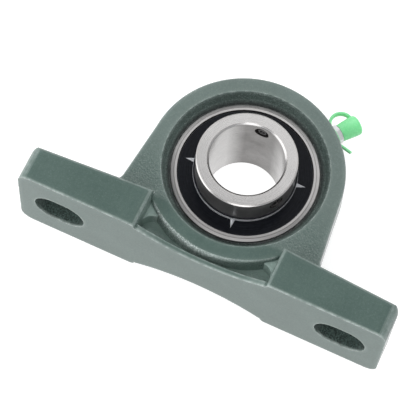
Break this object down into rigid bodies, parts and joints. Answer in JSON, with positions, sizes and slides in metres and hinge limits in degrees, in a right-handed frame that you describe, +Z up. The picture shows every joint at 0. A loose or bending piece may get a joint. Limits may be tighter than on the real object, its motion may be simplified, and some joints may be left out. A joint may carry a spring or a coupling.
{
  "type": "pillow block bearing",
  "caption": "Cast pillow block with slotted feet carrying a self-aligning sealed ball bearing insert that grips a shaft with set screws, greased through a capped nipple.",
  "frame": {"origin": "middle of the flat mounting face under the base", "axes": "+X along the base through both slots, +Y along the shaft bore away from the set-screw end, +Z up from the mounting face"},
  "size_m": [0.1566, 0.0423, 0.0896],
  "materials": {
    "casting_paint": "satin grey-green paint over a sand casting",
    "ring_steel": "ground bearing steel",
    "ball_steel": "polished bearing steel",
    "cage_steel": "pressed steel sheet",
    "rivet_steel": "headed steel rivets",
    "pin_steel": "hardened steel",
    "seal_rubber": "moulded black rubber",
    "seal_steel": "pressed steel sheet",
    "slinger_steel": "blue-black coated steel sheet",
    "screw_steel": "black oxide steel",
    "nipple_zinc": "bright zinc plated steel",
    "spring_steel": "drawn spring wire",
    "cap_rubber": "bright green soft plastic"
  },
  "bodies": {
    "housing": {"housing": "casting_paint", "nipple_body": "nipple_zinc", "nipple_spring": "spring_steel", "strap_ring": "cap_rubber", "cap_strap": "cap_rubber"},
    "locating_pin": {"locating_pin": "pin_steel"},
    "outer_ring": {"outer_ring": "ring_steel", "front_seal_rubber": "seal_rubber", "front_seal_core": "seal_steel", "rear_seal_rubber": "seal_rubber", "rear_seal_core": "seal_steel"},
    "inner_ring": {"inner_ring": "ring_steel", "front_slinger": "slinger_steel", "rear_slinger": "slinger_steel"},
    "cage": {"cage_front": "cage_steel", "cage_rear": "cage_steel", "cage_rivets": "rivet_steel"},
    "ball_1": {"ball_1": "ball_steel"},
    "ball_2": {"ball_2": "ball_steel"},
    "ball_3": {"ball_3": "ball_steel"},
    "ball_4": {"ball_4": "ball_steel"},
    "ball_5": {"ball_5": "ball_steel"},
    "ball_6": {"ball_6": "ball_steel"},
    "ball_7": {"ball_7": "ball_steel"},
    "ball_8": {"ball_8": "ball_steel"},
    "ball_9": {"ball_9": "ball_steel"},
    "set_screw_1": {"set_screw_1": "screw_steel"},
    "set_screw_2": {"set_screw_2": "screw_steel"},
    "nipple_cap": {"nipple_cap": "cap_rubber"},
    "nipple_ball": {"nipple_ball": "ball_steel"}
  },
  "joints": [
    {"name": "align_pitch", "type": "hinge", "parent": "housing", "child": "locating_pin", "pos_m": [0, 0, 0.0441], "axis": [1, 0, 0], "range_deg": [-2, 2]},
    {"name": "align_yaw", "type": "hinge", "parent": "locating_pin", "child": "outer_ring", "pos_m": [0, 0, 0.0441], "axis": [0, 0, 1], "range_deg": [-2, 2]},
    {"name": "shaft_spin", "type": "hinge", "parent": "outer_ring", "child": "inner_ring", "pos_m": [0, 0, 0.0441], "axis": [0, 1, 0], "continuous": true},
    {"name": "cage_orbit", "type": "hinge", "parent": "outer_ring", "child": "cage", "pos_m": [0, 0, 0.0441], "axis": [0, 1, 0], "continuous": true},
    {"name": "ball_1_spin", "type": "hinge", "parent": "cage", "child": "ball_1", "pos_m": [0, 0, 0.0671], "axis": [0, 1, 0], "continuous": true},
    {"name": "ball_2_spin", "type": "hinge", "parent": "cage", "child": "ball_2", "pos_m": [-0.01478, 0, 0.06172], "axis": [0, 1, 0], "continuous": true},
    {"name": "ball_3_spin", "type": "hinge", "parent": "cage", "child": "ball_3", "pos_m": [-0.02265, 0, 0.04809], "axis": [0, 1, 0], "continuous": true},
    {"name": "ball_4_spin", "type": "hinge", "parent": "cage", "child": "ball_4", "pos_m": [-0.01992, 0, 0.0326], "axis": [0, 1, 0], "continuous": true},
    {"name": "ball_5_spin", "type": "hinge", "parent": "cage", "child": "ball_5", "pos_m": [-0.00787, 0, 0.02249], "axis": [0, 1, 0], "continuous": true},
    {"name": "ball_6_spin", "type": "hinge", "parent": "cage", "child": "ball_6", "pos_m": [0.00787, 0, 0.02249], "axis": [0, 1, 0], "continuous": true},
    {"name": "ball_7_spin", "type": "hinge", "parent": "cage", "child": "ball_7", "pos_m": [0.01992, 0, 0.0326], "axis": [0, 1, 0], "continuous": true},
    {"name": "ball_8_spin", "type": "hinge", "parent": "cage", "child": "ball_8", "pos_m": [0.02265, 0, 0.04809], "axis": [0, 1, 0], "continuous": true},
    {"name": "ball_9_spin", "type": "hinge", "parent": "cage", "child": "ball_9", "pos_m": [0.01478, 0, 0.06172], "axis": [0, 1, 0], "continuous": true},
    {"name": "set_screw_1_travel", "type": "slide", "parent": "inner_ring", "child": "set_screw_1", "axis": [0, 0, 1], "range_m": [-0.0015, 0.004]},
    {"name": "set_screw_2_travel", "type": "slide", "parent": "inner_ring", "child": "set_screw_2", "axis": [0.866, 0, -0.5], "range_m": [-0.0015, 0.004]},
    {"name": "cap_pull", "type": "slide", "parent": "housing", "child": "nipple_cap", "axis": [0.5878, 0, 0.809], "range_m": [0, 0.007], "deforming": ["cap_strap"]},
    {"name": "nipple_valve", "type": "slide", "parent": "housing", "child": "nipple_ball", "axis": [-0.5878, 0, -0.809], "range_m": [0, 0.0008], "stiffness_N_per_m": 300, "deforming": ["nipple_spring"]}
  ],
  "couplings": [
    {"joint": "cage_orbit", "follows": "shaft_spin", "ratio": 0.39647},
    {"joint": "ball_1_spin", "follows": "shaft_spin", "ratio": -2.3112},
    {"joint": "ball_2_spin", "follows": "shaft_spin", "ratio": -2.3112},
    {"joint": "ball_3_spin", "follows": "shaft_spin", "ratio": -2.3112},
    {"joint": "ball_4_spin", "follows": "shaft_spin", "ratio": -2.3112},
    {"joint": "ball_5_spin", "follows": "shaft_spin", "ratio": -2.3112},
    {"joint": "ball_6_spin", "follows": "shaft_spin", "ratio": -2.3112},
    {"joint": "ball_7_spin", "follows": "shaft_spin", "ratio": -2.3112},
    {"joint": "ball_8_spin", "follows": "shaft_spin", "ratio": -2.3112},
    {"joint": "ball_9_spin", "follows": "shaft_spin", "ratio": -2.3112}
  ]
}
